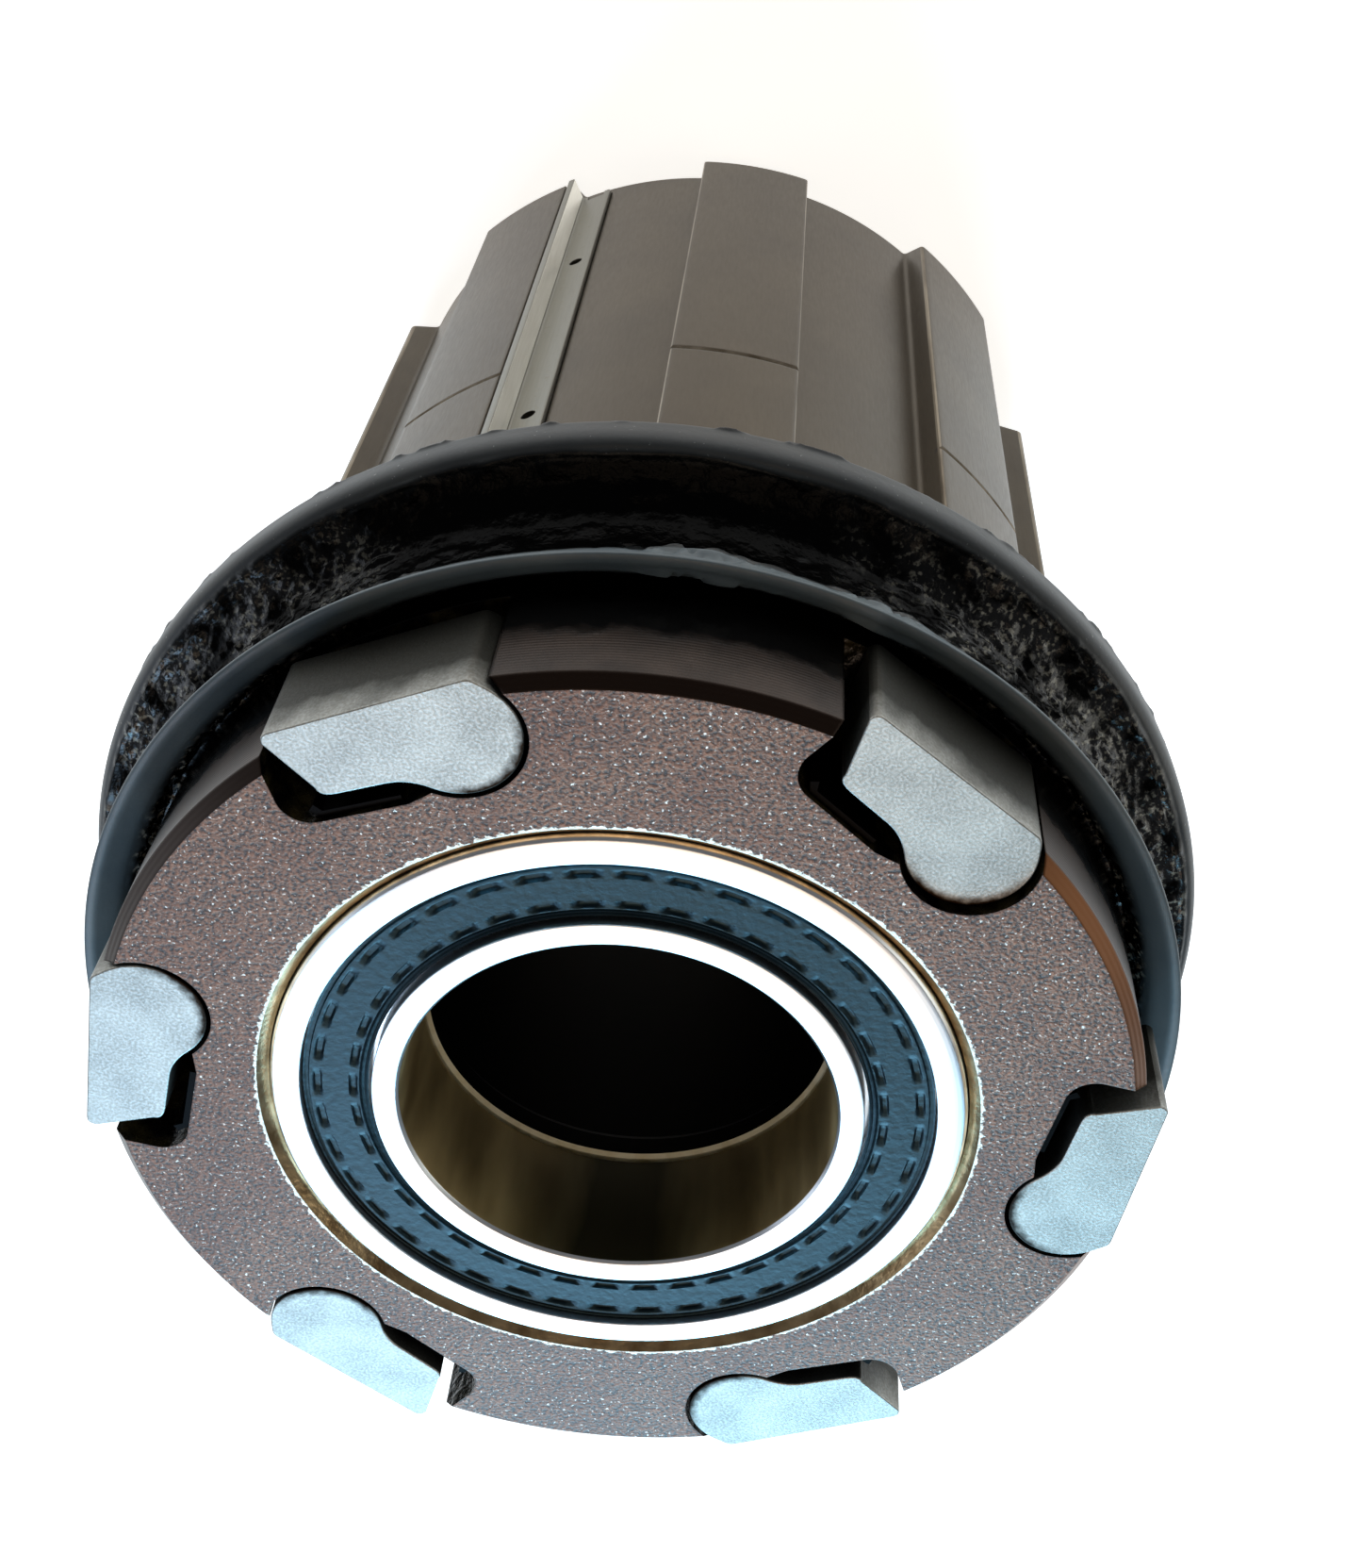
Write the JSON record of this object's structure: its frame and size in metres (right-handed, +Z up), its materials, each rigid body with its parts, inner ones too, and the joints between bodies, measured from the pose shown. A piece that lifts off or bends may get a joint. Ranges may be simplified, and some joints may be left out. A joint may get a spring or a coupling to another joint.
{
  "type": "bicycle freehub body",
  "caption": "splined cassette carrier of a rear hub with ratchet pawls round one end, a double-lip rubber seal and cartridge bearings on a through bore",
  "frame": {"origin": "centre of the outboard (lockring) end face, on the axle axis, where the part stands", "axes": "+Z runs up the axle axis from the outboard end to the inboard pawl face; -Y is the side nearest the viewer; +X completes the right-handed frame; the first spline is centred 99.8 degrees clockwise from +X"},
  "size_m": [0.042, 0.042, 0.0495],
  "materials": {
    "body_anodised": "hard anodised, fine blasted on the pawl face, turned satin on the splines",
    "pawl_steel": "bead blasted tool steel",
    "spring_steel": "cold rolled spring steel",
    "guard_steel": "bright stainless strip",
    "lip_rubber": "greasy nitrile rubber",
    "ring_steel": "ground bearing steel",
    "ball_steel": "polished balls in a pressed cage",
    "ring_seal": "moulded blue-black rubber",
    "sleeve_alloy": "black anodised",
    "clip_steel": "blackened spring steel"
  },
  "bodies": {
    "shell": {"freehub_body": "body_anodised", "bite_guard": "guard_steel", "lip_seal": "lip_rubber", "inboard_outer_ring": "ring_steel", "inboard_seal_outer": "ring_seal", "inboard_seal_inner": "ring_seal", "outboard_outer_ring": "ring_steel", "outboard_seal_outer": "ring_seal", "outboard_seal_inner": "ring_seal", "circlip": "clip_steel", "pawl_spring_1": "spring_steel", "pawl_spring_2": "spring_steel", "pawl_spring_3": "spring_steel", "pawl_spring_4": "spring_steel", "pawl_spring_5": "spring_steel", "pawl_spring_6": "spring_steel"},
    "axle_sleeve": {"inboard_inner_ring": "ring_steel", "outboard_inner_ring": "ring_steel", "spacer_sleeve": "sleeve_alloy"},
    "inboard_balls": {"inboard_ball_cage": "ball_steel"},
    "outboard_balls": {"outboard_ball_cage": "ball_steel"},
    "pawl_1": {"pawl_1": "pawl_steel"},
    "pawl_2": {"pawl_2": "pawl_steel"},
    "pawl_3": {"pawl_3": "pawl_steel"},
    "pawl_4": {"pawl_4": "pawl_steel"},
    "pawl_5": {"pawl_5": "pawl_steel"},
    "pawl_6": {"pawl_6": "pawl_steel"}
  },
  "joints": [
    {"name": "axle_spin", "type": "hinge", "parent": "shell", "child": "axle_sleeve", "pos_m": [0, 0, 0.025], "axis": [0, 0, 1], "continuous": true},
    {"name": "inboard_cage_spin", "type": "hinge", "parent": "shell", "child": "inboard_balls", "pos_m": [0, 0, 0.04695], "axis": [0, 0, 1], "continuous": true},
    {"name": "outboard_cage_spin", "type": "hinge", "parent": "shell", "child": "outboard_balls", "pos_m": [0, 0, 0.0124], "axis": [0, 0, 1], "continuous": true},
    {"name": "pawl_1_swing", "type": "hinge", "parent": "shell", "child": "pawl_1", "pos_m": [0.00431, -0.01565, 0.0474], "axis": [0, 0, -1], "range_deg": [-6.5, 8], "stiffness_Nm_per_rad": 0.04},
    {"name": "pawl_2_swing", "type": "hinge", "parent": "shell", "child": "pawl_2", "pos_m": [-0.0114, -0.01156, 0.0474], "axis": [0, 0, -1], "range_deg": [-6.5, 8], "stiffness_Nm_per_rad": 0.04},
    {"name": "pawl_3_swing", "type": "hinge", "parent": "shell", "child": "pawl_3", "pos_m": [-0.01571, 0.00409, 0.0474], "axis": [0, 0, -1], "range_deg": [-6.5, 8], "stiffness_Nm_per_rad": 0.04},
    {"name": "pawl_4_swing", "type": "hinge", "parent": "shell", "child": "pawl_4", "pos_m": [-0.00431, 0.01565, 0.0474], "axis": [0, 0, -1], "range_deg": [-6.5, 8], "stiffness_Nm_per_rad": 0.04},
    {"name": "pawl_5_swing", "type": "hinge", "parent": "shell", "child": "pawl_5", "pos_m": [0.0114, 0.01156, 0.0474], "axis": [0, 0, -1], "range_deg": [-6.5, 8], "stiffness_Nm_per_rad": 0.04},
    {"name": "pawl_6_swing", "type": "hinge", "parent": "shell", "child": "pawl_6", "pos_m": [0.01571, -0.00409, 0.0474], "axis": [0, 0, -1], "range_deg": [-6.5, 8], "stiffness_Nm_per_rad": 0.04}
  ],
  "couplings": [
    {"joint": "inboard_cage_spin", "follows": "axle_spin", "ratio": 0.43897},
    {"joint": "outboard_cage_spin", "follows": "axle_spin", "ratio": 0.43897}
  ]
}
